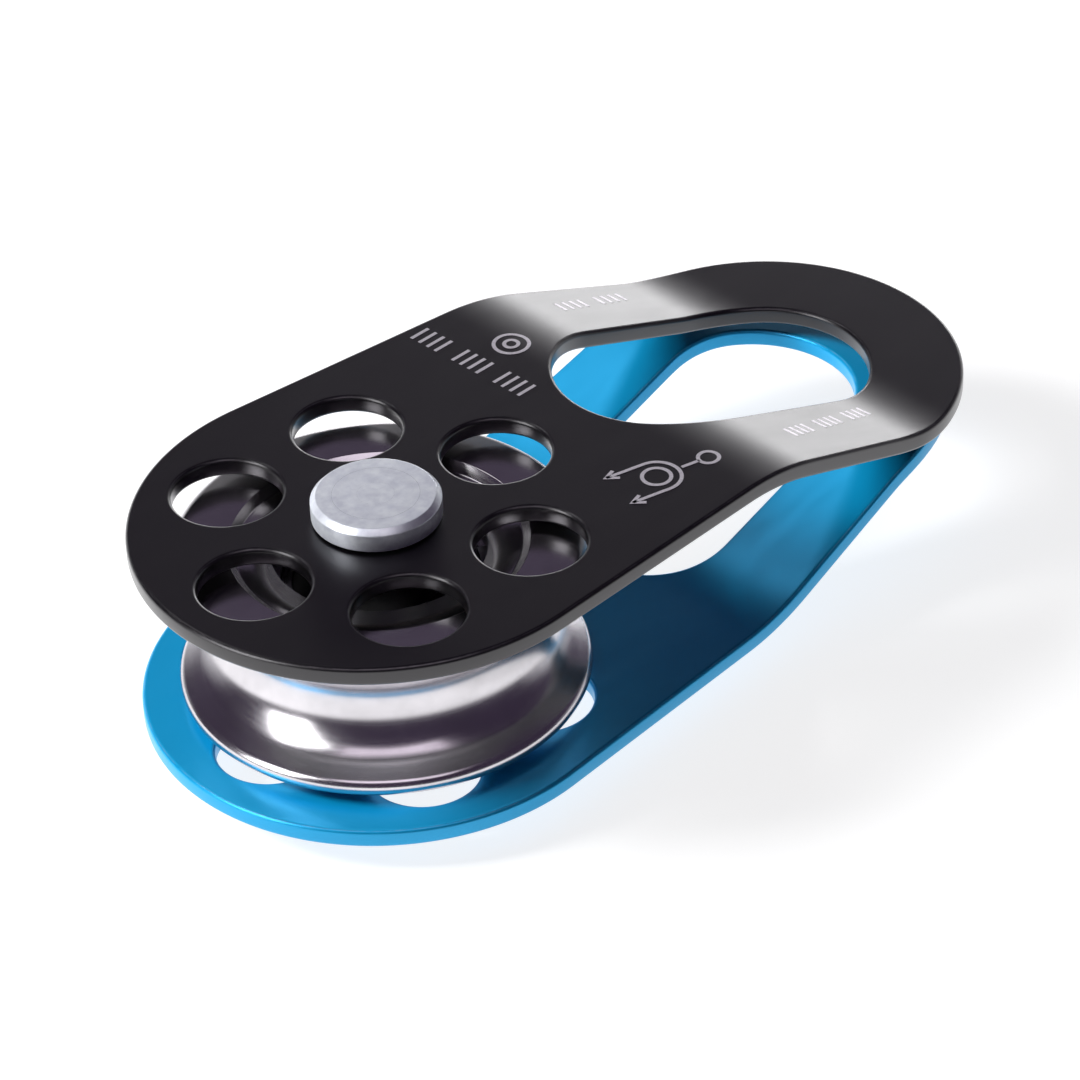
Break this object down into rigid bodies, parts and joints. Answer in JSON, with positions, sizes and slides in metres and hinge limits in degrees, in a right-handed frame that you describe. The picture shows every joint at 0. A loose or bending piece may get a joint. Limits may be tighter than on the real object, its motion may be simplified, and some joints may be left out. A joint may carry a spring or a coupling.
{
  "type": "rope pulley",
  "caption": "Swing-cheek rope pulley: grooved sheave on a sealed ball bearing between two bent, drilled cheek plates that share a carabiner eye.",
  "frame": {"origin": "centre of the axle pin's rear end face, flush with the rear collar's outer face, the lowest point of the part", "axes": "+Z along the axle pin, from the rear collar to the front head; +X from the axle towards the carabiner eye"},
  "size_m": [0.1206, 0.06, 0.0329],
  "materials": {
    "black_anodised": "black anodised, satin, with bright edge wear",
    "blue_anodised": "bright blue anodised, satin",
    "polished_sheave": "turned and polished",
    "satin_steel": "satin, faced",
    "spacer_steel": "turned",
    "spring_steel": "phosphated spring steel",
    "bearing_steel": "ground and polished",
    "seal_rubber": "moulded, matte",
    "cage_nylon": "moulded",
    "nylon": "stamped sheet"
  },
  "bodies": {
    "axle": {"axle_pin": "satin_steel", "rear_collar": "satin_steel", "front_spacer": "spacer_steel", "rear_spacer": "spacer_steel", "front_thrust_washer": "nylon", "rear_thrust_washer": "nylon", "bearing_inner_ring": "bearing_steel"},
    "front_cheek": {"front_cheek": "black_anodised"},
    "rear_cheek": {"rear_cheek": "blue_anodised"},
    "wheel": {"sheave": "polished_sheave", "bearing_outer_ring": "bearing_steel", "bearing_front_seal": "seal_rubber", "bearing_rear_seal": "seal_rubber", "retaining_ring": "spring_steel"},
    "ball_set": {"bearing_cage": "cage_nylon", "bearing_ball_1": "bearing_steel", "bearing_ball_2": "bearing_steel", "bearing_ball_3": "bearing_steel", "bearing_ball_4": "bearing_steel", "bearing_ball_5": "bearing_steel", "bearing_ball_6": "bearing_steel", "bearing_ball_7": "bearing_steel"}
  },
  "joints": [
    {"name": "front_cheek_swing", "type": "hinge", "parent": "axle", "child": "front_cheek", "pos_m": [0, 0, 0.0284], "axis": [0, 0, 1], "continuous": true},
    {"name": "rear_cheek_swing", "type": "hinge", "parent": "axle", "child": "rear_cheek", "pos_m": [0, 0, 0.0045], "axis": [0, 0, 1], "continuous": true},
    {"name": "sheave_spin", "type": "hinge", "parent": "axle", "child": "wheel", "pos_m": [0, 0, 0.01645], "axis": [0, 0, 1], "continuous": true},
    {"name": "ball_set_spin", "type": "hinge", "parent": "axle", "child": "ball_set", "pos_m": [0, 0, 0.01645], "axis": [0, 0, 1], "continuous": true}
  ],
  "couplings": [
    {"joint": "ball_set_spin", "follows": "sheave_spin", "ratio": 0.632}
  ]
}
